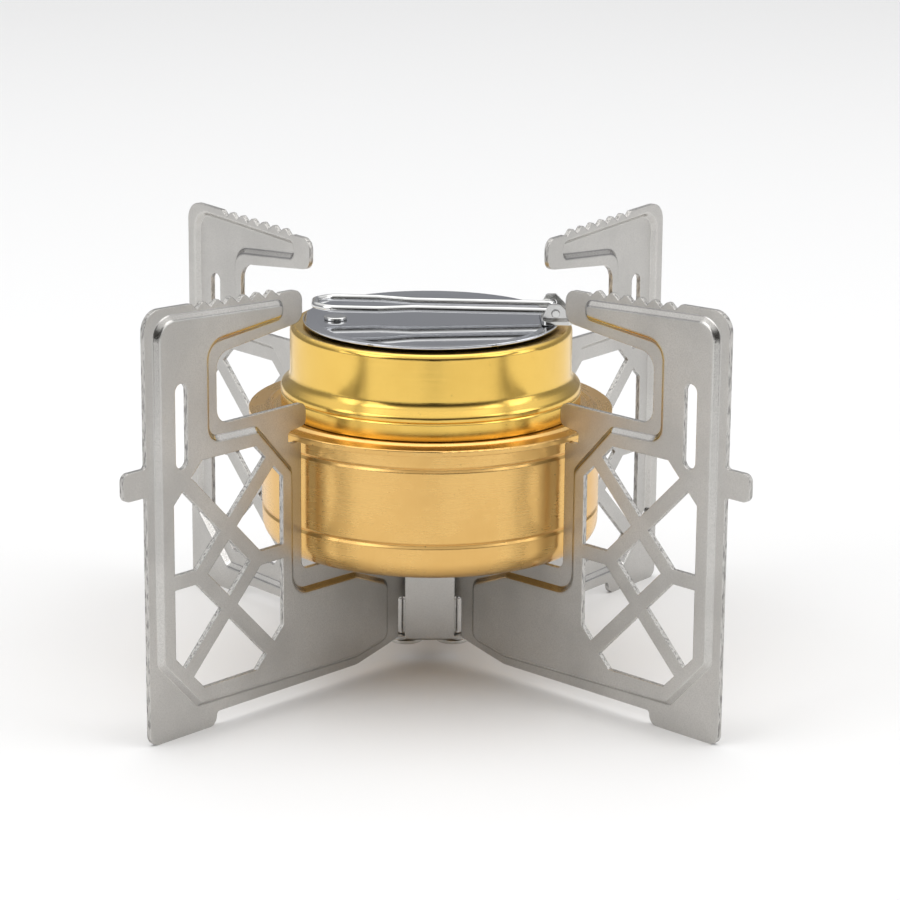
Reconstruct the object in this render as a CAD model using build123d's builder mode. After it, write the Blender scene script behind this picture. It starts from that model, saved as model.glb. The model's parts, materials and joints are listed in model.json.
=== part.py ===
# Alcohol spirit stove: a brass spirit burner held by a folding stand of four stamped wings.
# Frame: +Z up, -Y to the front, +X to the right, origin on the ground at the middle of the opened stand.
# The front and back wings stand at different angles, so the burner axis is a little forward of it.
# All sizes are millimetres.
from build123d import *
from math import cos, sin, radians
import os

# ---------------------------------------------------------------- driving sizes
# folding stand
sheet_t = 1.0            # stamped sheet thickness
pin_half_gap = 4.9       # hinge pins stand at x = +-this
front_splay = 46.7       # front wings' angle from the X axis, opened
back_splay = 50.2        # back wings' angle from the X axis, opened
wing_reach = 74.5        # outer edge, measured from the pin axis
lug_reach = 6.0          # lug beyond the outer edge
top_outer = 86.7         # height of the top edge at the outer corner
top_slope = 0.037        # fall of the top edge towards the middle
face_off = 0.15          # sheet's near face, off the plane through the pin axis
press_h = 1.0            # height of the raised panel
band_angle = 45          # slope of the panel's edge band, degrees
outer_bend = 0.8         # radius of a press bend on its outside
inner_bend = 0.4         # and on its inside

# burner, radius and height
flange_r = 37.5
flange_top = 54.9
body_r = flange_r - 2.6
body_floor = 26.95
neck_r = 26.2
neck_top = 71.2
well_r = 20.4
wall = 0.8

# regulator
skirt_r = 29.0
band_r = 30.9            # flared band that sits on the burner's flange
ring_top = 72.05
ring_hole_r = 17.0
plate_r = 26.3
plate_t = 0.5
plate_gap = 0.3          # between the ring's top and the plate, filled by the washer
pivot_x = -19.6
run_gap = 0.15           # running gap between parts that turn on one another

# wire handle
wire_d = 1.5
hinge_x = 25.2
hinge_z = 75.3
handle_len = 49.0
handle_tilt = 1.2

# hinge bracket and pins
pin_r = 1.0
bore_r = 1.05
knuckle_r = bore_r + sheet_t
washer_r = knuckle_r + 0.15
relief_r = 3.7           # wing sheet stays this far from the pin outside its own knuckle
ear_r = 3.3              # bracket flange round each pin
web_half = 5.15
web_back = -(washer_r + 0.2)    # web's inner face
flange_t = 1.0
bracket_lo = 4.6
bracket_hi = 24.4
washer_t = 0.5
knuckle_split = 13.7     # middle of the washer between lower and upper knuckles

# ---------------------------------------------------------------- fits
tab_top = flange_top + 6.4
tab_low = flange_top + 1.8
flange_seam = 1.2
lip_z = flange_top - flange_seam - run_gap
shelf_z = body_floor - 0.2
inner_r = flange_r - 5.0 # wing's inner upright edge, from the pin axis
knuckle_lo = bracket_lo + flange_t + 0.2
knuckle_mid_lo = knuckle_split - washer_t / 2 - run_gap
knuckle_mid_hi = knuckle_split + washer_t / 2 + run_gap
knuckle_hi = bracket_hi - flange_t - 0.2


def wing_depth(splay):
    """How far a wing's lug reaches along Y from the burner axis."""
    return (wing_reach + lug_reach) * sin(radians(splay)) + (face_off + sheet_t) * cos(radians(splay))


axis_y = (wing_depth(front_splay) - wing_depth(back_splay)) / 2    # burner axis, so that the stand is centred
stove_axis = Axis((0, axis_y, 0), (0, 0, 1))
section = Plane(origin=(0, axis_y, 0), x_dir=(1, 0, 0), z_dir=(0, -1, 0))


def level(z):
    """Level plane at height z, centred on the burner axis."""
    return Plane(origin=(0, axis_y, z))


def top_z(r):
    """Height of the wing's top edge at distance r from the pin."""
    return top_outer - top_slope * (wing_reach - r)


def wing_plane(side_x, azimuth):
    """Upright plane through a pin: local x runs outwards, local y is height."""
    u = Vector(cos(radians(azimuth)), sin(radians(azimuth)), 0)
    return Plane(origin=(side_x * pin_half_gap, axis_y, 0), x_dir=u, z_dir=u.cross(Vector(0, 0, 1)))


def corners(points):
    """Split (x, y, radius) triples into the arguments FilletPolyline takes."""
    return [(p[0], p[1]) for p in points], [p[2] for p in points]


def teeth():
    """Seven V notches along the top edge, outermost first."""
    count, pitch, half, depth, first = 7, 3.67, 1.5, 1.25, wing_reach - 13.8
    pts = []
    for i in range(count):
        r = first - i * pitch
        pts.append((r + half, top_z(r + half), 0.25))
        pts.append((r, top_z(r) - depth, 0.3))
        if i < count - 1:
            pts.append((r - half, top_z(r - half), 0.25))
    return pts


def knuckle_edge(upper):
    """Hinge side of the wing, from the top down."""
    if upper:
        return [(1.2, knuckle_hi, 0), (1.2, knuckle_mid_hi, 0), (relief_r, knuckle_mid_hi, 0.4),
                (relief_r, knuckle_lo - 0.25, 0.4)]
    return [(relief_r, knuckle_hi, 0.4), (relief_r, knuckle_mid_lo, 0.4), (1.2, knuckle_mid_lo, 0),
            (1.2, knuckle_lo, 0), (relief_r + 0.2, knuckle_lo, 0)]


def wing_outline(upper):
    """Flat outline of one wing as (r, z, corner radius), anticlockwise from the foot."""
    tip_r, cut_r = inner_r - 0.5, inner_r + 23.2
    arm_top = top_z(tip_r) - 0.7
    foot_in = wing_reach - 17.9
    lug_lo, lug_hi, lug_out = 50.5, 56.1, wing_reach + lug_reach
    pts = [(foot_in, 0, 2.0), (wing_reach, 0, 2.2)]
    pts += [(wing_reach, lug_lo, 0.8), (lug_out, lug_lo, 1.6), (lug_out, lug_hi, 1.6), (wing_reach, lug_hi, 0.8)]
    pts += [(wing_reach, top_outer, 4.0)]
    pts += teeth()
    pts += [(tip_r + 5.9, arm_top + 0.15, 0.8), (tip_r, arm_top, 2.4), (tip_r, arm_top - 6.5, 2.4)]
    pts += [(cut_r, arm_top - 9.1, 3.6), (cut_r, tab_top, 3.0)]
    pts += [(inner_r - 1.4, tab_top, 1.6), (inner_r - 1.4, tab_low, 1.3)]
    pts += [(inner_r + 3.6, tab_low - 0.7, 0.7), (inner_r + 3.6, lip_z, 0.6), (inner_r, lip_z, 0.8)]
    pts += [(inner_r, shelf_z, 1.8), (16.5, shelf_z, 3.0), (8.2, knuckle_hi, 2.0)]
    pts += knuckle_edge(upper)
    pts += [(6.7, 4.75, 1.2), (16.3, 2.6, 4.0), (foot_in, 2.8, 0.8)]
    return pts


def panel_outline():
    """Foot of the raised panel's edge band."""
    out_r, in_r, cut_r = wing_reach - 2.1, inner_r + 2.5, inner_r + 25.4
    return [(7.05, 5.9, 2.5), (16.8, 4.05, 4.0), (out_r - 10.3, 5.2, 2.0), (out_r, 16.0, 2.5),
            (out_r, top_outer - 1.5, 4.5), (inner_r + 4.9, top_z(inner_r) - 1.9, 1.8),
            (inner_r + 4.9, top_z(inner_r) - 5.8, 1.7), (cut_r, top_z(inner_r) - 7.65, 3.4),
            (cut_r, tab_top - 2.0, 2.2), (inner_r + 12.5, tab_top - 2.4, 1.8), (in_r + 0.1, 48.3, 2.5),
            (in_r, shelf_z - 3.7, 3.4), (17.1, shelf_z - 3.95, 3.0), (7.05, shelf_z - 8.0, 2.5)]


def lattice_bars():
    """Bars of the X lattice as (r, z, length, width, angle)."""
    mid_r, mid_z, half, run, bar, level = wing_reach - 20.75, 32.15, 8.0, 17.0, 3.1, 2.9
    slanted = [(mid_r + sx * (run - half), mid_z + sz * run, 2 * run * 2 ** 0.5, bar, 45 * sx * sz)
               for sx in (-1, 1) for sz in (-1, 1)]
    flat = [(mid_r + sx * (half + 5.5), mid_z, 12.0, level, 0) for sx in (-1, 1)]
    return slanted + flat


def panel_rim(part, plane, height, facing):
    """Largest flat face at that height above the plane, facing along its normal (1) or against it (-1)."""
    level_faces = part.faces().filter_by(GeomType.PLANE).filter_by(
        lambda f: abs((f.center() - plane.origin).dot(plane.z_dir) - height) < 1e-4
        and f.normal_at().dot(plane.z_dir) * facing > 0.999)
    return level_faces.sort_by(SortBy.AREA)[-1]


def make_wing(side_x, azimuth, upper):
    """One stamped wing: sheet with its outline, pressed panel, openings and rolled knuckle."""
    plane = wing_plane(side_x, azimuth)
    near, far = plane.offset(face_off), plane.offset(face_off + sheet_t)
    z0, z1 = (knuckle_mid_hi, knuckle_hi) if upper else (knuckle_lo, knuckle_mid_lo)
    edge, edge_radii = corners(wing_outline(upper))
    panel, panel_radii = corners(panel_outline())
    with BuildPart() as wing:
        with BuildSketch(near):
            with BuildLine():
                FilletPolyline(*edge, radius=edge_radii, close=True)
            make_face()
        extrude(amount=sheet_t)
        # raised panel: a tapered block on the near side of the sheet and the same pocket behind it
        with BuildSketch(far):
            with BuildLine():
                FilletPolyline(*panel, radius=panel_radii, close=True)
            make_face()
        extrude(amount=press_h, taper=band_angle)
        fillet(panel_rim(wing.part, far, press_h, 1).outer_wire().edges(), outer_bend)
        fillet(panel_rim(wing.part, far, 0, 1).inner_wires()[0].edges(), inner_bend)
        with BuildSketch(near):
            with BuildLine():
                FilletPolyline(*panel, radius=panel_radii, close=True)
            make_face()
        extrude(amount=press_h, taper=band_angle, mode=Mode.SUBTRACT)
        fillet(panel_rim(wing.part, near, press_h, -1).outer_wire().edges(), inner_bend)
        fillet(panel_rim(wing.part, near, 0, -1).inner_wires()[0].edges(), outer_bend)
        # seven openings of the X lattice (a chamfered window less its bars) and the upright slot
        r_in, r_out, z_lo, z_hi, cham = inner_r + 6.2, wing_reach - 6.1, 9.1, 55.35, 7.6
        with BuildSketch(near):
            with BuildLine():
                Polyline((r_in, z_lo + cham), (r_in + cham, z_lo), (r_out - cham, z_lo), (r_out, z_lo + cham),
                         (r_out, z_hi - cham), (r_out - cham, z_hi), (r_in + cham, z_hi), (r_in, z_hi - cham),
                         close=True)
            make_face()
            for r, z, length, width, angle in lattice_bars():
                with Locations((r, z)):
                    Rectangle(length, width, rotation=angle, mode=Mode.SUBTRACT)
            with Locations((wing_reach - 8.4, 63.05)):
                SlotOverall(16.9, 3.2, rotation=90)
        extrude(amount=sheet_t + press_h + 1, mode=Mode.SUBTRACT)
        # rolled knuckle round the pin
        with BuildSketch(level(z0)):
            with Locations((side_x * pin_half_gap, 0)):
                Circle(knuckle_r)
        extrude(amount=z1 - z0)
        with BuildSketch(level(z0)):
            with Locations((side_x * pin_half_gap, 0)):
                Circle(bore_r)
        extrude(amount=z1 - z0, mode=Mode.SUBTRACT)
    return wing.part


os.makedirs("parts", exist_ok=True)

# ---------------------------------------------------------------- stand: four wings
with BuildPart() as wing_front_right:
    add(make_wing(1, -front_splay, True))
wing_front_right.part.label = "wing_front_right"

with BuildPart() as wing_front_left:
    mirror(wing_front_right.part, about=Plane.YZ)
wing_front_left.part.label = "wing_front_left"

with BuildPart() as wing_back_left:
    add(make_wing(-1, 180 - back_splay, False))
wing_back_left.part.label = "wing_back_left"

with BuildPart() as wing_back_right:
    mirror(wing_back_left.part, about=Plane.YZ)
wing_back_right.part.label = "wing_back_right"

# ---------------------------------------------------------------- stand: hinge bracket, pins, washers
pin_spots = [(-pin_half_gap, 0), (pin_half_gap, 0)]

with BuildPart() as hinge_channel:
    web_mid = web_back - sheet_t / 2
    for z in (bracket_lo, bracket_hi - flange_t):
        with BuildSketch(level(z)):
            with Locations((0, (web_back - sheet_t + ear_r) / 2)):
                Rectangle(2 * web_half, ear_r - web_back + sheet_t)
            with Locations(*pin_spots):
                Circle(ear_r)
            with Locations(*pin_spots):
                Circle(pin_r, mode=Mode.SUBTRACT)
        extrude(amount=flange_t)
    with BuildSketch(level(bracket_lo)):
        with Locations((0, web_mid)):
            Rectangle(2 * web_half, sheet_t)
    extrude(amount=bracket_hi - bracket_lo)
    folds = hinge_channel.edges().filter_by(Axis.X).filter_by(lambda e: e.center().Y < axis_y + web_back - 0.9)
    fillet(folds, 0.6)
hinge_channel.part.label = "hinge_channel"

head_r, head_t, peen_r, peen_t = 3.5, 0.8, 1.7, 0.6
with BuildPart() as hinge_pins:
    with BuildSketch(level(bracket_lo - head_t)):
        with Locations(*pin_spots):
            Circle(head_r)
    extrude(amount=head_t)
    fillet(hinge_pins.edges().filter_by(GeomType.CIRCLE).group_by(Axis.Z)[0], 0.25)
    with BuildSketch(level(bracket_lo)):
        with Locations(*pin_spots):
            Circle(pin_r)
    extrude(amount=bracket_hi + washer_t - bracket_lo)
    with BuildSketch(level(bracket_hi + washer_t)):
        with Locations(*pin_spots):
            Circle(peen_r)
    extrude(amount=peen_t)
    fillet(hinge_pins.edges().filter_by(GeomType.CIRCLE).group_by(Axis.Z)[-1], 0.35)
hinge_pins.part.label = "hinge_pins"

with BuildPart() as knuckle_washers:
    with BuildSketch(level(knuckle_split - washer_t / 2)):
        with Locations(*pin_spots):
            Circle(washer_r)
        with Locations(*pin_spots):
            Circle(pin_r, mode=Mode.SUBTRACT)
    extrude(amount=washer_t)
knuckle_washers.part.label = "knuckle_washers"

with BuildPart() as pin_washers:
    with BuildSketch(level(bracket_hi)):
        with Locations(*pin_spots):
            Circle(2.5)
        with Locations(*pin_spots):
            Circle(pin_r, mode=Mode.SUBTRACT)
    extrude(amount=washer_t)
pin_washers.part.label = "pin_washers"

# ---------------------------------------------------------------- burner
cup_flange_z = flange_top - 0.5
groove = 0.35
low_groove_z, high_groove_z = body_floor + 7.65, flange_top - 4.7

with BuildPart() as burner_cup:
    with BuildSketch(section):
        with BuildLine():
            FilletPolyline(
                (0, body_floor), (body_r - 0.2, body_floor), (body_r, low_groove_z - 0.6),
                (body_r - groove, low_groove_z), (body_r, low_groove_z + 0.6), (body_r, high_groove_z - 0.6),
                (body_r - groove, high_groove_z), (body_r, high_groove_z + 0.6),
                (body_r, cup_flange_z - 0.5), (flange_r - 0.4, cup_flange_z - 0.5), (flange_r - 0.4, cup_flange_z),
                (body_r - wall, cup_flange_z), (body_r - wall, body_floor + wall), (0, body_floor + wall),
                radius=[0, 4.6, 0.3, 0.2, 0.3, 0.3, 0.2, 0.3, 0.3, 0, 0, 0, 3.8, 0], close=True)
        make_face()
    revolve(axis=stove_axis)
burner_cup.part.label = "burner_cup"

neck_in = neck_r - wall
with BuildPart() as burner_top:
    with BuildSketch(section):
        with BuildLine():
            FilletPolyline(
                (neck_r, neck_top), (neck_r, flange_top), (flange_r - 5.1, flange_top),
                (flange_r - 4.2, flange_top + 0.5), (flange_r - 3.4, flange_top), (flange_r, flange_top), (flange_r, flange_top - flange_seam),
                (flange_r - 0.4, flange_top - flange_seam), (flange_r - 0.4, cup_flange_z), (neck_in, cup_flange_z),
                (neck_in, neck_top - wall), (neck_in - 0.2, neck_top - wall), (neck_in - 0.2, neck_top),
                radius=[0.35, 0.5, 0.3, 0.3, 0.3, 0.3, 0.12, 0, 0, 0, 0, 0, 0], close=True)
        make_face()
    revolve(axis=stove_axis)
burner_top.part.label = "burner_top"

thread_lo, thread_n, thread_pitch = flange_top + 5.6, 5, 1.3
with BuildPart() as thread_ring:
    ridges = [(neck_r, thread_lo)]
    for i in range(thread_n):
        z = thread_lo + i * thread_pitch
        ridges += [(neck_r + 0.45, z + 0.1), (neck_r + 0.9, z + 0.55), (neck_r + 0.9, z + 0.75),
                   (neck_r + 0.45, z + 1.2)]
    ridges += [(neck_r, thread_lo + thread_n * thread_pitch)]
    with BuildSketch(section):
        with BuildLine():
            Polyline(*ridges, close=True)
        make_face()
    revolve(axis=stove_axis)
thread_ring.part.label = "thread_ring"

jet_n, jet_d = 24, 1.0
jet_out, jet_drop = neck_in - 0.2, 2.4
with BuildPart() as jet_ring:
    with BuildSketch(section):
        with BuildLine():
            Polyline((jet_out, neck_top - 0.3), (jet_out, neck_top - wall - 2.2), (jet_out - 0.6, neck_top - wall - 2.2),
                     (jet_out - 0.6, neck_top - 1.0), (well_r, neck_top - jet_drop - 0.6), (well_r, neck_top - jet_drop),
                     close=True)
        make_face()
    revolve(axis=stove_axis)
    with BuildSketch(level(neck_top - jet_drop - 3)):
        with PolarLocations((jet_out + well_r) / 2, jet_n):
            Circle(jet_d / 2)
    extrude(amount=6, mode=Mode.SUBTRACT)
jet_ring.part.label = "jet_ring"

well_floor = body_floor + wall
with BuildPart() as burner_well:
    with BuildSketch(level(well_floor)):
        Circle(well_r)
        Circle(well_r - wall, mode=Mode.SUBTRACT)
    extrude(amount=neck_top - jet_drop - well_floor)
    feed_r = 1.5
    with Locations(*[Plane(origin=(0, axis_y, well_floor + 3.0), z_dir=(cos(a), sin(a), 0))
                     for a in [radians(60 * k) for k in range(6)]]):
        Cylinder(feed_r, well_r + 2, align=(Align.CENTER, Align.CENTER, Align.MIN), mode=Mode.SUBTRACT)
burner_well.part.label = "burner_well"

with BuildPart() as burner_wick:
    with BuildSketch(level(well_floor)):
        Circle(neck_in - 0.1)
        Circle(well_r, mode=Mode.SUBTRACT)
    extrude(amount=neck_top - well_floor - 8)
burner_wick.part.label = "burner_wick"

# ---------------------------------------------------------------- regulator ring, plate, rivet, washer
web_t = 0.7
seat_z = flange_top + run_gap
band_top, flare_top = flange_top + 3.7, flange_top + 6.7
with BuildPart() as regulator_ring:
    with BuildSketch(section):
        with BuildLine():
            FilletPolyline(
                (band_r, seat_z), (band_r, band_top - 0.3), (band_r - 0.2, band_top), (band_r, band_top + 0.3),
                (band_r, flare_top - 1.8), (skirt_r, flare_top), (skirt_r, ring_top), (ring_hole_r, ring_top),
                (ring_hole_r, ring_top - web_t), (skirt_r - web_t, ring_top - web_t), (skirt_r - web_t, flare_top - 0.3),
                (band_r - web_t, flare_top - 2.1), (band_r - web_t, seat_z),
                radius=[0.15, 0.1, 0.1, 0.1, 1.0, 2.2, 1.1, 0, 0, 0.4, 1.2, 1.0, 0.15], close=True)
        make_face()
    revolve(axis=stove_axis)
    with BuildSketch(level(ring_top - web_t)):
        with Locations((pivot_x, 0)):
            Circle(1.2)
    extrude(amount=web_t, mode=Mode.SUBTRACT)
regulator_ring.part.label = "regulator_ring"

plate_z = ring_top + plate_gap    # underside of the plate's flat floor
rim_rise, rim_band = 0.3, 2.8     # its edge is turned up a little
floor_top = plate_z + plate_t
with BuildPart() as regulator_plate:
    with BuildSketch(section):
        with BuildLine():
            FilletPolyline(
                (0, plate_z), (plate_r - rim_band, plate_z), (plate_r, plate_z + rim_rise),
                (plate_r, floor_top + rim_rise), (plate_r - rim_band, floor_top), (0, floor_top),
                radius=[0, 1.0, 0, 0.15, 1.0, 0], close=True)
        make_face()
    revolve(axis=stove_axis)
    with BuildSketch(level(plate_z - 1)):
        with Locations((pivot_x, 0)):
            Circle(1.3)
        with Locations((hinge_x - 0.6, 1.3), (hinge_x - 0.6, -1.3)):
            Circle(0.7)
    extrude(amount=4, mode=Mode.SUBTRACT)
regulator_plate.part.label = "regulator_plate"

with BuildPart() as pivot_rivet:
    with BuildSketch(level(ring_top - web_t - 0.6)):
        with Locations((pivot_x, 0)):
            Circle(2.0)
    extrude(amount=0.6)
    with BuildSketch(level(ring_top - web_t)):
        with Locations((pivot_x, 0)):
            Circle(1.2)
    extrude(amount=floor_top + 0.1 - ring_top + web_t)
    with BuildSketch(level(floor_top + 0.1)):
        with Locations((pivot_x, 0)):
            Circle(2.4)
    extrude(amount=0.6)
    fillet(pivot_rivet.edges().filter_by(GeomType.CIRCLE).group_by(Axis.Z)[-1], 0.35)
pivot_rivet.part.label = "pivot_rivet"

with BuildPart() as pivot_washer:
    with BuildSketch(level(ring_top)):
        with Locations((pivot_x, 0)):
            Circle(2.6)
            Circle(1.2, mode=Mode.SUBTRACT)
    extrude(amount=plate_gap - 0.1)
pivot_washer.part.label = "pivot_washer"

# ---------------------------------------------------------------- handle bracket, its rivets, wire handle
seat_top = floor_top + rim_rise    # the bracket stands on the plate's turned-up edge
base_in, base_out, base_half, base_t = hinge_x - 2.8, hinge_x + 3.4, 7.0, 0.8
ear_in, ear_out, ear_rise = 4.7, 5.4, 4.0
with BuildPart() as handle_bracket:
    with BuildSketch(level(seat_top)):
        with Locations(((base_in + base_out) / 2, 0)):
            RectangleRounded(base_out - base_in, 2 * base_half, 1.2)
    extrude(amount=base_t)
    for side in (-1, 1):
        with BuildSketch(section.offset(ear_out if side < 0 else -ear_in)):
            with BuildLine():
                FilletPolyline(
                    (base_in + 0.2, seat_top), (base_in + 0.2, seat_top + 1.6), (hinge_x - 1.3, seat_top + ear_rise),
                    (hinge_x + 0.7, seat_top + ear_rise), (base_out, seat_top + 1.3), (base_out, seat_top),
                    radius=[0, 0.6, 0.8, 0.8, 0.6, 0], close=True)
            make_face()
        extrude(amount=-(ear_out - ear_in))
    with BuildSketch(section.offset(ear_out + 1)):
        with Locations((hinge_x, hinge_z)):
            Circle(wire_d / 2 + 0.1)
    extrude(amount=-2 * (ear_out + 1), mode=Mode.SUBTRACT)
    with BuildSketch(level(seat_top)):
        with Locations((hinge_x - 0.6, 1.3), (hinge_x - 0.6, -1.3)):
            Circle(0.7)
    extrude(amount=base_t, mode=Mode.SUBTRACT)
handle_bracket.part.label = "handle_bracket"

with BuildPart() as bracket_rivets:
    with BuildSketch(level(plate_z + 0.1)):
        with Locations((hinge_x - 0.6, 1.3), (hinge_x - 0.6, -1.3)):
            Circle(0.7)
    extrude(amount=seat_top + base_t - plate_z - 0.1)
    with BuildSketch(level(seat_top + base_t)):
        with Locations((hinge_x - 0.6, 1.3), (hinge_x - 0.6, -1.3)):
            Circle(1.2)
    extrude(amount=0.4)
    fillet(bracket_rivets.edges().filter_by(GeomType.CIRCLE).group_by(Axis.Z)[-1], 0.2)
bracket_rivets.part.label = "bracket_rivets"

tilt = radians(handle_tilt)
handle_plane = Plane(origin=(hinge_x, axis_y, hinge_z), x_dir=(-cos(tilt), 0, sin(tilt)), z_dir=(sin(tilt), 0, cos(tilt)))
leg, bulb, bulb_at = 3.5, 5.3, handle_len - 13
loop_pts = [(0, -6.1, 0), (0, -leg, 1.4), (bulb_at - 7, -leg, 8), (bulb_at, -bulb, 6), (handle_len - 3.0, -bulb, 3.6),
            (handle_len, -2.4, 2.3)]
loop_pts += [(s, -y, r) for s, y, r in reversed(loop_pts)]
with BuildPart() as wire_handle:
    with BuildLine(handle_plane) as loop:
        pts, radii = corners(loop_pts)
        FilletPolyline(*pts, radius=radii[1:-1])
    with BuildSketch(Plane(origin=loop.line @ 0, z_dir=loop.line % 0)):
        Circle(wire_d / 2)
    sweep(path=loop.line)
wire_handle.part.label = "wire_handle"

# ---------------------------------------------------------------- one STEP per piece
for piece in (wing_front_right, wing_front_left, wing_back_left, wing_back_right, hinge_channel, hinge_pins,
              knuckle_washers, pin_washers, burner_cup, burner_top, thread_ring, jet_ring, burner_well,
              burner_wick, regulator_ring, regulator_plate, pivot_rivet, pivot_washer, handle_bracket,
              bracket_rivets, wire_handle):
    export_step(piece.part, f"parts/{piece.part.label}.step")
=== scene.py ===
# Looks for the alcohol spirit stove: stamped steel stand, spun brass burner, regulator with a wire handle.
# Everything is in metres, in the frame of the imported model.
import json
from math import cos, pi, radians, sin
import bpy
from mathutils import Matrix, Vector


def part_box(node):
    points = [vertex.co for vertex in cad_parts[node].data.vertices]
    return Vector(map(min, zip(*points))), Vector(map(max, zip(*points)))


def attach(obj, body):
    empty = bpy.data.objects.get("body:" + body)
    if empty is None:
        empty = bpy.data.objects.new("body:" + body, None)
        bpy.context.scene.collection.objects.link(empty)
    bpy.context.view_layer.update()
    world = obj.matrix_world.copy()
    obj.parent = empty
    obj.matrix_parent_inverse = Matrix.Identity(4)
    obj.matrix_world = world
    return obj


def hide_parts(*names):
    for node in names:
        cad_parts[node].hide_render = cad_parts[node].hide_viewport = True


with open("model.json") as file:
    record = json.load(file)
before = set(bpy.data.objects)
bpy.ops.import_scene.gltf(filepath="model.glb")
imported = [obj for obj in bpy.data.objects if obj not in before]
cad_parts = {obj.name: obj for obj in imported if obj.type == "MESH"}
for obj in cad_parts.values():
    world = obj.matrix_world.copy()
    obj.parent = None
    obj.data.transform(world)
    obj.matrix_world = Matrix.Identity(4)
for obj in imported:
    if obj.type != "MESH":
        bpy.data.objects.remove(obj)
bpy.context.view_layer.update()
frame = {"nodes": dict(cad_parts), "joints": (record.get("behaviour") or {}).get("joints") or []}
nodes, joints = frame["nodes"], {j["name"]: j for j in frame["joints"]}

MM = 0.001
BURNER_Y = joints["burner_turn"]["pos_m"][1]      # the burner turns about the line x = 0, y = BURNER_Y
THREAD_LOW, THREAD_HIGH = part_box("thread_ring")
HANDLE_HINGE = Vector(joints["handle_swing"]["pos_m"])


# ---------------------------------------------------------------- shader helpers
def new_group(name, inputs, outputs):
    """A shader node group with named sockets; returns the group, its input node and its output node."""
    group = bpy.data.node_groups.new(name, "ShaderNodeTree")
    for label, kind, value in inputs:
        socket = group.interface.new_socket(name=label, in_out="INPUT", socket_type=kind)
        if value is not None:
            socket.default_value = value
    for label, kind in outputs:
        group.interface.new_socket(name=label, in_out="OUTPUT", socket_type=kind)
    return group, group.nodes.new("NodeGroupInput"), group.nodes.new("NodeGroupOutput")


def node(tree, kind, inputs=None, **settings):
    """Add a node; inputs maps a socket name or number to a value or to another node's output socket."""
    made = tree.nodes.new(kind)
    for key, value in settings.items():
        setattr(made, key, value)
    for key, value in (inputs or {}).items():
        if isinstance(value, bpy.types.NodeSocket):
            tree.links.new(value, made.inputs[key])
        else:
            made.inputs[key].default_value = value
    return made


def math(tree, operation, *values):
    return node(tree, "ShaderNodeMath", dict(enumerate(values)), operation=operation).outputs[0]


def ramp(tree, value, low, high, out_low=0.0, out_high=1.0):
    """Smooth step of value from low to high."""
    made = node(tree, "ShaderNodeMapRange", {"Value": value, "From Min": low, "From Max": high,
                                             "To Min": out_low, "To Max": out_high},
                interpolation_type="SMOOTHSTEP")
    return made.outputs["Result"]


def noise(tree, vector, scale, detail=2.0, roughness=0.5):
    made = node(tree, "ShaderNodeTexNoise", {"Vector": vector, "Scale": scale, "Detail": detail,
                                             "Roughness": roughness})
    return made.outputs["Fac"]


def mix_colour(tree, factor, a, b, blend="MIX"):
    made = tree.nodes.new("ShaderNodeMix")
    made.data_type, made.blend_type = "RGBA", blend
    for index, value in ((0, factor), (6, a), (7, b)):
        if isinstance(value, bpy.types.NodeSocket):
            tree.links.new(value, made.inputs[index])
        else:
            made.inputs[index].default_value = value
    return made.outputs[2]


def mix_value(tree, factor, a, b):
    made = tree.nodes.new("ShaderNodeMix")
    for index, value in ((0, factor), (2, a), (3, b)):
        if isinstance(value, bpy.types.NodeSocket):
            tree.links.new(value, made.inputs[index])
        else:
            made.inputs[index].default_value = value
    return made.outputs[0]


# ---------------------------------------------------------------- shared effects
def blast_grain_group():
    """Fine pits of bead blasting, with faint larger clouds."""
    group, inp, out = new_group(
        "blast_grain",
        [("Vector", "NodeSocketVector", None), ("Grain Size", "NodeSocketFloat", 0.00012),
         ("Cloud Size", "NodeSocketFloat", 0.012)],
        [("Height", "NodeSocketFloat"), ("Pits", "NodeSocketFloat"), ("Clouds", "NodeSocketFloat")])
    fine_scale = math(group, "DIVIDE", 1.0, inp.outputs["Grain Size"])
    cloud_scale = math(group, "DIVIDE", 1.0, inp.outputs["Cloud Size"])
    fine = noise(group, inp.outputs["Vector"], fine_scale, 2.0, 0.6)
    coarse = noise(group, inp.outputs["Vector"], math(group, "MULTIPLY", fine_scale, 0.31), 1.0, 0.5)
    clouds = noise(group, inp.outputs["Vector"], cloud_scale, 3.0, 0.55)
    group.links.new(mix_value(group, 0.35, fine, coarse), out.inputs["Height"])
    group.links.new(ramp(group, fine, 0.35, 0.7), out.inputs["Pits"])
    group.links.new(ramp(group, clouds, 0.32, 0.68), out.inputs["Clouds"])
    return group


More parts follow.
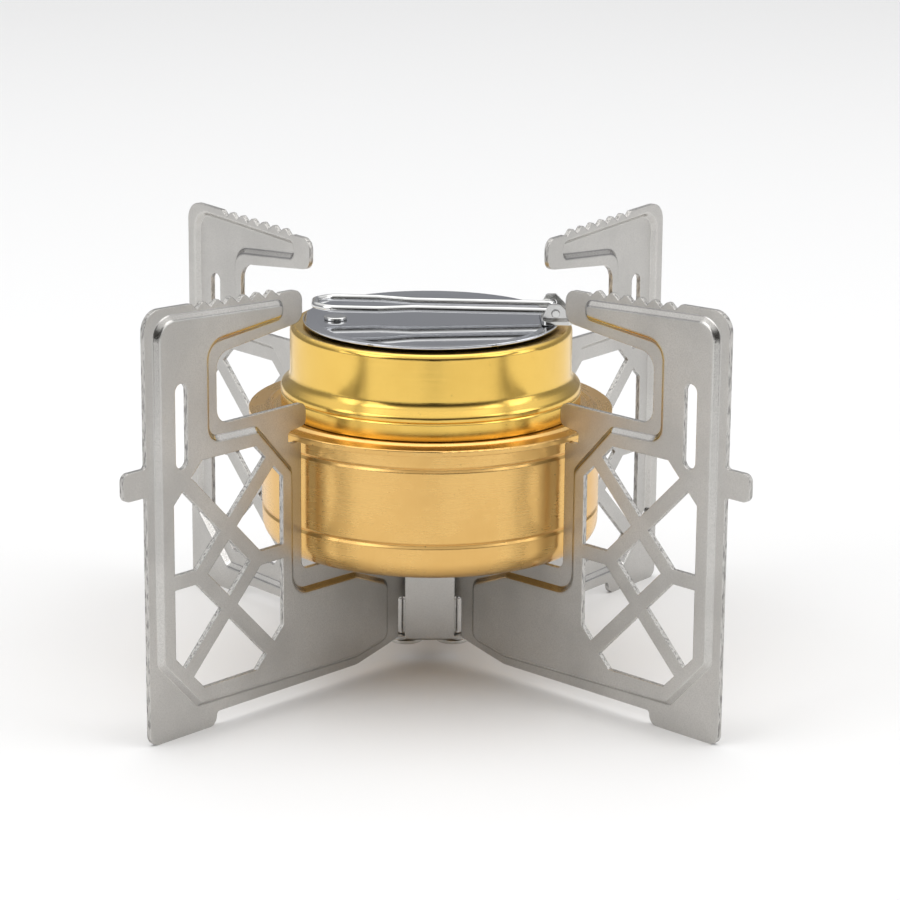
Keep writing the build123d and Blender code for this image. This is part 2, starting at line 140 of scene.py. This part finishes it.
def spun_marks_group():
    """Tool marks round an upright axis: fine rings of spinning, short upright rub marks, and soft stains."""
    group, inp, out = new_group(
        "spun_marks",
        [("Vector", "NodeSocketVector", None), ("Axis Y", "NodeSocketFloat", 0.0),
         ("Ring Pitch", "NodeSocketFloat", 0.00022), ("Stain Size", "NodeSocketFloat", 0.014)],
        [("Rings", "NodeSocketFloat"), ("Rubs", "NodeSocketFloat"), ("Stains", "NodeSocketFloat"),
         ("Specks", "NodeSocketFloat")])
    place = node(group, "ShaderNodeSeparateXYZ", {0: inp.outputs["Vector"]})
    x, z = place.outputs["X"], place.outputs["Z"]
    y = math(group, "SUBTRACT", place.outputs["Y"], inp.outputs["Axis Y"])
    squares = math(group, "ADD", math(group, "MULTIPLY", x, x), math(group, "MULTIPLY", y, y))
    radius = math(group, "SQRT", squares)
    along = math(group, "ADD", radius, z)
    # unit direction from the axis, so that the marks close up round the part
    ux = math(group, "DIVIDE", x, math(group, "ADD", radius, 1e-6))
    uy = math(group, "DIVIDE", y, math(group, "ADD", radius, 1e-6))
    pitch = math(group, "DIVIDE", 1.0, inp.outputs["Ring Pitch"])
    rings = node(group, "ShaderNodeCombineXYZ", {
        "X": math(group, "MULTIPLY", ux, 1.6), "Y": math(group, "MULTIPLY", uy, 1.6),
        "Z": math(group, "MULTIPLY", along, pitch)}).outputs[0]
    rubs = node(group, "ShaderNodeCombineXYZ", {
        "X": math(group, "MULTIPLY", ux, 90.0), "Y": math(group, "MULTIPLY", uy, 90.0),
        "Z": math(group, "MULTIPLY", along, 170.0)}).outputs[0]
    stain_scale = math(group, "DIVIDE", 1.0, inp.outputs["Stain Size"])
    stains = noise(group, inp.outputs["Vector"], stain_scale, 4.0, 0.6)
    cells = node(group, "ShaderNodeTexVoronoi", {"Vector": inp.outputs["Vector"], "Scale": 700.0})
    specks = cells.outputs["Distance"]
    sparse = ramp(group, noise(group, inp.outputs["Vector"], 260.0, 1.0), 0.56, 0.68)
    group.links.new(noise(group, rings, 1.0, 3.0, 0.65), out.inputs["Rings"])
    group.links.new(noise(group, rubs, 1.0, 2.0, 0.6), out.inputs["Rubs"])
    group.links.new(ramp(group, stains, 0.35, 0.7), out.inputs["Stains"])
    group.links.new(math(group, "MULTIPLY", ramp(group, specks, 0.16, 0.04), sparse), out.inputs["Specks"])
    return group


def edge_highlight_group():
    """Mask of the rounding along sharp edges, used to paint a bright edge highlight: how far a softened
    normal leaves the true one.
    """
    group, inp, out = new_group(
        "edge_highlight", [("Width", "NodeSocketFloat", 0.00025), ("Breakup", "NodeSocketFloat", 0.5),
                      ("Vector", "NodeSocketVector", None)],
        [("Mask", "NodeSocketFloat"), ("Soft Normal", "NodeSocketVector")])
    soft = node(group, "ShaderNodeBevel", {"Radius": inp.outputs["Width"]}, samples=6).outputs["Normal"]
    true = node(group, "ShaderNodeNewGeometry").outputs["Normal"]
    same = node(group, "ShaderNodeVectorMath", {0: soft, 1: true}, operation="DOT_PRODUCT").outputs["Value"]
    bent = ramp(group, same, 0.985, 0.86)
    patchy = ramp(group, noise(group, inp.outputs["Vector"], 900.0, 2.0), 0.3, 0.6)
    kept = mix_value(group, inp.outputs["Breakup"], 1.0, patchy)
    group.links.new(math(group, "MULTIPLY", bent, kept), out.inputs["Mask"])
    group.links.new(soft, out.inputs["Soft Normal"])
    return group


BLAST, SPUN, EDGE = blast_grain_group(), spun_marks_group(), edge_highlight_group()


def material(name, metallic=1.0, roughness=0.3):
    made = bpy.data.materials.new(name)
    made.use_nodes = True
    tree = made.node_tree
    shader = tree.nodes["Principled BSDF"]
    shader.inputs["Metallic"].default_value = metallic
    shader.inputs["Roughness"].default_value = roughness
    place = node(tree, "ShaderNodeTexCoord").outputs["Object"]
    return made, tree, shader, place


def grouped(tree, group, inputs):
    made = node(tree, "ShaderNodeGroup", node_tree=group)
    for key, value in inputs.items():
        if isinstance(value, bpy.types.NodeSocket):
            tree.links.new(value, made.inputs[key])
        else:
            made.inputs[key].default_value = value
    return made


def bump(tree, height, distance, normal=None, strength=1.0):
    made = node(tree, "ShaderNodeBump", {"Height": height, "Distance": distance, "Strength": strength})
    if normal is not None:
        tree.links.new(normal, made.inputs["Normal"])
    return made.outputs["Normal"]


def blasted_steel(name, colour, pressed_from=None, rough=0.4):
    """Bead-blasted stainless sheet: grainy and matt, smoother on pressed slopes, with a painted highlight on
    cut edges.
    """
    made, tree, shader, place = material(name)
    grain = grouped(tree, BLAST, {"Vector": place, "Grain Size": 0.00024, "Cloud Size": 0.016})
    edge = grouped(tree, EDGE, {"Vector": place, "Width": 0.00022, "Breakup": 0.45})
    dark = tuple(c * 0.90 for c in colour) + (1,)
    light = tuple(min(1, c * 1.06) for c in colour) + (1,)
    bright = tuple(min(1, c * 1.28) for c in colour) + (1,)
    base = mix_colour(tree, grain.outputs["Clouds"], dark, light)
    base = mix_colour(tree, math(tree, "MULTIPLY", grain.outputs["Pits"], 0.45), base,
                      tuple(c * 0.72 for c in colour) + (1,))
    # painted highlight: the colour turns to the paler 'bright' along sharp edges, following the edge mask
    base = mix_colour(tree, math(tree, "MULTIPLY", edge.outputs["Mask"], 0.75), base, bright)
    rough_base = mix_value(tree, grain.outputs["Clouds"], rough - 0.03, rough + 0.04)
    height = grain.outputs["Height"]
    smooth = edge.outputs["Mask"]
    if pressed_from is not None:
        normal = node(tree, "ShaderNodeNewGeometry").outputs["Normal"]
        facing = node(tree, "ShaderNodeVectorMath", {0: normal, 1: pressed_from},
                      operation="DOT_PRODUCT").outputs["Value"]
        tilt = math(tree, "ABSOLUTE", facing)
        slope = math(tree, "MULTIPLY", ramp(tree, tilt, 0.985, 0.90), ramp(tree, tilt, 0.15, 0.5))
        smooth = math(tree, "MAXIMUM", smooth, math(tree, "MULTIPLY", slope, 0.9))
        cut = ramp(tree, tilt, 0.2, 0.05)
        # sheared cut edge: upright tears across the sheet's thickness
        tears = node(tree, "ShaderNodeMapping", {"Vector": place, "Scale": (2600, 2600, 500)}).outputs[0]
        torn = noise(tree, tears, 1.0, 2.0, 0.6)
        height = math(tree, "ADD", height, math(tree, "MULTIPLY", cut, math(tree, "MULTIPLY", torn, 2.5)))
        base = mix_colour(tree, math(tree, "MULTIPLY", cut, ramp(tree, torn, 0.55, 0.35)), base,
                          tuple(c * 0.45 for c in colour) + (1,))
    tree.links.new(base, shader.inputs["Base Color"])
    tree.links.new(mix_value(tree, smooth, rough_base, 0.2), shader.inputs["Roughness"])
    softened = bump(tree, height, 0.000022, edge.outputs["Soft Normal"], 0.8)
    tree.links.new(softened, shader.inputs["Normal"])
    return made


def spun_brass(name, colour, rough, ring_depth, stain=0.35, rub_depth=0.5):
    """Spun and brushed brass with faint rings, short rubs, warm stains and dark specks."""
    made, tree, shader, place = material(name)
    marks = grouped(tree, SPUN, {"Vector": place, "Axis Y": BURNER_Y, "Ring Pitch": 0.00025,
                                 "Stain Size": 0.011})
    edge = grouped(tree, EDGE, {"Vector": place, "Width": 0.00018, "Breakup": 0.3})
    warm = (colour[0] * 0.93, colour[1] * 0.86, colour[2] * 0.74, 1)
    pale = (min(1, colour[0] * 1.04), colour[1] * 1.05, colour[2] * 1.12, 1)
    base = mix_colour(tree, math(tree, "MULTIPLY", marks.outputs["Stains"], stain), colour + (1,), warm)
    base = mix_colour(tree, math(tree, "MULTIPLY", marks.outputs["Rubs"], 0.35), base, pale)
    base = mix_colour(tree, math(tree, "MULTIPLY", marks.outputs["Specks"], 0.6), base, (0.16, 0.09, 0.03, 1))
    # painted highlight: the brass colour is paled along sharp edges, following the edge mask
    base = mix_colour(tree, math(tree, "MULTIPLY", edge.outputs["Mask"], 0.5), base, pale)
    tree.links.new(base, shader.inputs["Base Color"])
    varied = mix_value(tree, marks.outputs["Rings"], rough - 0.07, rough + 0.07)
    varied = mix_value(tree, math(tree, "MULTIPLY", marks.outputs["Stains"], 0.5), varied, rough + 0.1)
    tree.links.new(varied, shader.inputs["Roughness"])
    rubs = math(tree, "MULTIPLY", marks.outputs["Rubs"], rub_depth)
    height = math(tree, "ADD", marks.outputs["Rings"], rubs)
    marked = bump(tree, height, ring_depth, edge.outputs["Soft Normal"], 0.6)
    tree.links.new(marked, shader.inputs["Normal"])
    return made


def polished_steel(name, colour, rough, scratch=0.000004, wipe=0.06):
    """Polished steel with hairline wiping marks."""
    made, tree, shader, place = material(name)
    edge = grouped(tree, EDGE, {"Vector": place, "Width": 0.00015, "Breakup": 0.2})
    lines = node(tree, "ShaderNodeMapping", {"Vector": place, "Rotation": (0, 0, 0.5),
                                             "Scale": (160, 5200, 5200)})
    fine = noise(tree, lines.outputs[0], 1.0, 2.0, 0.6)
    smears = noise(tree, place, 70.0, 3.0, 0.55)
    base = mix_colour(tree, math(tree, "MULTIPLY", ramp(tree, smears, 0.4, 0.7), 0.2), colour + (1,),
                      tuple(c * 0.9 for c in colour) + (1,))
    tree.links.new(base, shader.inputs["Base Color"])
    varied = mix_value(tree, ramp(tree, smears, 0.35, 0.72), rough, rough + wipe)
    tree.links.new(varied, shader.inputs["Roughness"])
    tree.links.new(bump(tree, fine, scratch, edge.outputs["Soft Normal"], 0.4), shader.inputs["Normal"])
    return made


def felt(name):
    """Off-white wick felt: matted fibres."""
    made, tree, shader, place = material(name, 0.0, 0.95)
    fibres = noise(tree, place, 2600.0, 4.0, 0.7)
    mats = noise(tree, place, 300.0, 3.0, 0.6)
    base = mix_colour(tree, fibres, (0.52, 0.47, 0.38, 1), (0.80, 0.76, 0.68, 1))
    base = mix_colour(tree, math(tree, "MULTIPLY", mats, 0.3), base, (0.42, 0.36, 0.28, 1))
    tree.links.new(base, shader.inputs["Base Color"])
    tree.links.new(bump(tree, math(tree, "ADD", fibres, mats), 0.00025), shader.inputs["Normal"])
    shader.inputs["Sheen Weight"].default_value = 0.4
    return made


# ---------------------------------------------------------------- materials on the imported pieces
STEEL = (0.58, 0.566, 0.542)


def dress(obj, made):
    obj.data.materials.clear()
    obj.data.materials.append(made)


for wing in ("wing_front_left", "wing_front_right", "wing_back_left", "wing_back_right"):
    low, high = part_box(wing)
    left, front = "left" in wing, "front" in wing
    # direction of the wing in plan, from its pin to its lug
    joint = joints[wing.replace("wing_", "") + "_fold"]
    tip = Vector((low.x if left else high.x, low.y if front else high.y, 0))
    pin = Vector((joint["pos_m"][0], joint["pos_m"][1], 0))
    run = (tip - pin).normalized()
    dress(nodes[wing], blasted_steel("blasted_" + wing, STEEL, pressed_from=(-run.y, run.x, 0)))

dress(nodes["hinge_channel"], blasted_steel("blasted_channel", (0.58, 0.565, 0.54), rough=0.36))
pin_steel = polished_steel("turned_pin_steel", (0.62, 0.61, 0.59), 0.22)
for name in ("hinge_pins", "knuckle_washers", "pin_washers"):
    dress(nodes[name], pin_steel)

cup_brass = spun_brass("burner_brass", (0.80, 0.505, 0.175), 0.26, 0.000010, stain=0.5)
ring_brass = spun_brass("regulator_brass", (0.85, 0.565, 0.135), 0.20, 0.000008, stain=0.4)
inner_brass = spun_brass("inner_brass", (0.78, 0.52, 0.22), 0.36, 0.000012, stain=0.6)
for name in ("burner_cup", "burner_top"):
    dress(nodes[name], cup_brass)
dress(nodes["regulator_ring"], ring_brass)
for name in ("jet_ring", "burner_well"):
    dress(nodes[name], inner_brass)
dress(nodes["burner_wick"], felt("wick_felt"))

plate_steel = polished_steel("plate_mirror_steel", (0.56, 0.57, 0.60), 0.035, 0.000002, 0.03)
dress(nodes["regulator_plate"], plate_steel)
rivet_steel = polished_steel("rivet_steel", (0.66, 0.66, 0.65), 0.12)
for name in ("pivot_rivet", "pivot_washer", "handle_bracket", "bracket_rivets"):
    dress(nodes[name], rivet_steel)
wire_steel = polished_steel("wire_steel", (0.68, 0.68, 0.67), 0.10, 0.000003)


# ---------------------------------------------------------------- neck thread and wire handle, grown by rules
def shape_tree(name, inputs):
    """A geometry node tree with named inputs; returns the tree, its input node and its output node."""
    tree = bpy.data.node_groups.new(name, "GeometryNodeTree")
    tree.interface.new_socket(name="Geometry", in_out="INPUT", socket_type="NodeSocketGeometry")
    for label, kind, value in inputs:
        tree.interface.new_socket(name=label, in_out="INPUT", socket_type=kind).default_value = value
    tree.interface.new_socket(name="Geometry", in_out="OUTPUT", socket_type="NodeSocketGeometry")
    return tree, tree.nodes.new("NodeGroupInput"), tree.nodes.new("NodeGroupOutput")


def round_bar(tree, out, curve, radius, sides, made):
    """Ends a tree: a capped round bar along the curve, in one material."""
    profile = node(tree, "GeometryNodeCurvePrimitiveCircle", {"Resolution": sides, "Radius": radius})
    bar = node(tree, "GeometryNodeCurveToMesh", {"Curve": curve, "Profile Curve": profile.outputs["Curve"],
                                                 "Fill Caps": True})
    real = node(tree, "GeometryNodeRealizeInstances", {0: bar.outputs["Mesh"]})
    finish = node(tree, "GeometryNodeSetMaterial", {"Geometry": real.outputs[0], "Material": made})
    tree.links.new(finish.outputs[0], out.inputs["Geometry"])


def grown(name, tree, settings, path=(), bends=()):
    """Runs a tree on an open path of points and keeps the result as a plain mesh."""
    base = bpy.data.meshes.new(name + "_path")
    base.from_pydata(list(path), [(k, k + 1) for k in range(len(path) - 1)], [])
    if bends:
        base.attributes.new("bend", "FLOAT", "POINT").data.foreach_set("value", bends)
    obj = bpy.data.objects.new(name, base)
    bpy.context.scene.collection.objects.link(obj)
    modifier = obj.modifiers.new("shape", "NODES")
    modifier.node_group = tree
    for item in tree.interface.items_tree:
        if item.in_out == "INPUT" and item.name in settings:
            modifier[item.identifier] = settings[item.name]
    made = bpy.data.meshes.new_from_object(obj.evaluated_get(bpy.context.evaluated_depsgraph_get()))
    obj.modifiers.remove(modifier)
    obj.data = made
    return obj


thread_tree, given, out = shape_tree("neck_thread", [
    ("Pitch Radius", "NodeSocketFloat", 0.0265), ("Ridge Radius", "NodeSocketFloat", 0.0005),
    ("Turns", "NodeSocketFloat", 4.0), ("Height", "NodeSocketFloat", 0.0054),
    ("Start", "NodeSocketVector", (0, 0, 0.061)), ("Steps", "NodeSocketInt", 64)])
coil = node(thread_tree, "GeometryNodeCurveSpiral", {
    "Resolution": given.outputs["Steps"], "Rotations": given.outputs["Turns"],
    "Start Radius": given.outputs["Pitch Radius"], "End Radius": given.outputs["Pitch Radius"],
    "Height": given.outputs["Height"]})
raised = node(thread_tree, "GeometryNodeTransform", {"Geometry": coil.outputs["Curve"],
                                                     "Translation": given.outputs["Start"]})
round_bar(thread_tree, out, raised.outputs["Geometry"], given.outputs["Ridge Radius"], 12, inner_brass)
ridge = 0.5 * MM
thread = grown("neck_thread", thread_tree, {
    "Pitch Radius": (THREAD_HIGH.x - THREAD_LOW.x) / 2 - ridge - 0.05 * MM, "Ridge Radius": ridge,
    "Turns": 4.2, "Height": THREAD_HIGH.z - THREAD_LOW.z - 2.2 * ridge,
    "Start": (0, BURNER_Y, THREAD_LOW.z + 1.1 * ridge)})
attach(thread, "burner")
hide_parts("thread_ring")

wire_tree, given, out = shape_tree("bent_wire", [
    ("Wire Radius", "NodeSocketFloat", 0.00075), ("Steps", "NodeSocketInt", 12)])
bend = node(wire_tree, "GeometryNodeInputNamedAttribute", {"Name": "bend"}, data_type="FLOAT").outputs[0]
run = node(wire_tree, "GeometryNodeMeshToCurve", {"Mesh": given.outputs["Geometry"]}).outputs["Curve"]
turned = node(wire_tree, "GeometryNodeFilletCurve", {
    "Curve": run, "Count": given.outputs["Steps"], "Radius": bend, "Limit Radius": True},
    mode="POLY").outputs["Curve"]
round_bar(wire_tree, out, turned, given.outputs["Wire Radius"], 20, wire_steel)
# half of the loop from the hinge end, as (along, across, bend radius) in millimetres
HALF_LOOP = [(0, -6.1, 0), (0, -3.5, 1.4), (29, -3.5, 8), (36, -5.3, 6), (46, -5.3, 3.6), (49, -2.4, 2.3)]
full_loop = HALF_LOOP + [(along, -across, bent) for along, across, bent in reversed(HALF_LOOP)]
HANDLE_TILT = radians(1.2)
loop_path = [HANDLE_HINGE + MM * Vector((-along * cos(HANDLE_TILT), -across, along * sin(HANDLE_TILT)))
             for along, across, _ in full_loop]
handle = grown("wire_loop", wire_tree, {}, path=loop_path, bends=[bent * MM for _, _, bent in full_loop])
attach(handle, "handle")
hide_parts("wire_handle")

# ---------------------------------------------------------------- floor, light, camera
FLOOR_R = 4.0
floor_mesh = bpy.data.meshes.new("floor")
rim = [(FLOOR_R * cos(2 * pi * k / 96), FLOOR_R * sin(2 * pi * k / 96), 0.0) for k in range(96)]
floor_mesh.from_pydata(rim, [], [tuple(range(96))])
floor = bpy.data.objects.new("floor", floor_mesh)
bpy.context.scene.collection.objects.link(floor)
floor_paint = bpy.data.materials.new("pale_floor")
floor_paint.use_nodes = True
floor_paint.node_tree.nodes["Principled BSDF"].inputs["Base Color"].default_value = (0.86, 0.86, 0.86, 1)
floor_paint.node_tree.nodes["Principled BSDF"].inputs["Roughness"].default_value = 0.9
floor_mesh.materials.append(floor_paint)

middle = Vector((0, BURNER_Y, 0.045))


def soft_light(name, place, size, watts, colour=(1, 1, 1)):
    data = bpy.data.lights.new(name, "AREA")
    data.shape, data.size, data.size_y = "RECTANGLE", size[0], size[1]
    data.energy, data.color = watts, colour
    lamp = bpy.data.objects.new(name, data)
    lamp.location = place
    lamp.rotation_euler = (middle - Vector(place)).to_track_quat("-Z", "Y").to_euler()
    bpy.context.scene.collection.objects.link(lamp)
    return lamp


soft_light("left_softbox", (-1.0, -0.55, 0.75), (0.9, 1.1), 5.5)
soft_light("right_softbox", (1.05, -0.35, 0.7), (0.8, 1.1), 4.5)
soft_light("top_softbox", (0.0, 0.35, 1.35), (1.4, 1.0), 5.0)

# a black card in front of the stove, low down and hidden from the camera; its effect on the brass is slight
card_mesh = bpy.data.meshes.new("black_card")
CARD_LEFT, CARD_RIGHT, CARD_Y, CARD_LOW, CARD_HIGH = -0.04, 0.06, -0.42, 0.001, 0.115
card_mesh.from_pydata([(CARD_LEFT, CARD_Y, CARD_LOW), (CARD_RIGHT, CARD_Y, CARD_LOW),
                       (CARD_RIGHT, CARD_Y, CARD_HIGH), (CARD_LEFT, CARD_Y, CARD_HIGH)], [], [(0, 1, 2, 3)])
card = bpy.data.objects.new("black_card", card_mesh)
bpy.context.scene.collection.objects.link(card)
card_paint = bpy.data.materials.new("black_card")
card_paint.use_nodes = True
card_paint.node_tree.nodes["Principled BSDF"].inputs["Base Color"].default_value = (0.01, 0.01, 0.01, 1)
card_paint.node_tree.nodes["Principled BSDF"].inputs["Roughness"].default_value = 0.9
card_mesh.materials.append(card_paint)
card.visible_camera = False

world = bpy.data.worlds.new("studio")
bpy.context.scene.world = world
world.use_nodes = True
sky = world.node_tree
shade = sky.nodes["Background"]
place = node(sky, "ShaderNodeTexCoord").outputs["Generated"]
facing = node(sky, "ShaderNodeSeparateXYZ", {0: place})
up, back = facing.outputs["Z"], facing.outputs["Y"]
# mid grey low behind, white overhead, dark towards the front of the room
low_grey, overhead, front_grey = (0.33, 0.335, 0.35, 1), (1.0, 1.0, 1.0, 1), (0.06, 0.057, 0.053, 1)
room = mix_colour(sky, ramp(sky, up, 0.35, 0.72), low_grey, overhead)
toward_front = math(sky, "MULTIPLY", ramp(sky, back, -0.30, -0.80), ramp(sky, up, 0.80, 0.35))
room = mix_colour(sky, toward_front, room, front_grey)
seen = node(sky, "ShaderNodeLightPath").outputs["Is Camera Ray"]
sky.links.new(mix_colour(sky, seen, room, (0.93, 0.93, 0.93, 1)), shade.inputs["Color"])
shade.inputs["Strength"].default_value = 1.0

camera_data = bpy.data.cameras.new("camera")
camera_data.sensor_width, camera_data.lens = 36.0, 131.89
camera_data.clip_start, camera_data.clip_end = 0.05, 50
camera = bpy.data.objects.new("camera", camera_data)
aim = (Matrix.Rotation(radians(-1.623), 4, "Z") @ Matrix.Rotation(radians(90 - 15.087), 4, "X")
       @ Matrix.Rotation(radians(0.444), 4, "Z"))
camera.matrix_world = Matrix.Translation((-0.01463, BURNER_Y - 0.65973, 0.2230)) @ aim
bpy.context.scene.collection.objects.link(camera)
bpy.context.scene.camera = camera

bpy.context.scene.view_settings.view_transform = "Standard"
bpy.context.scene.view_settings.look = "None"
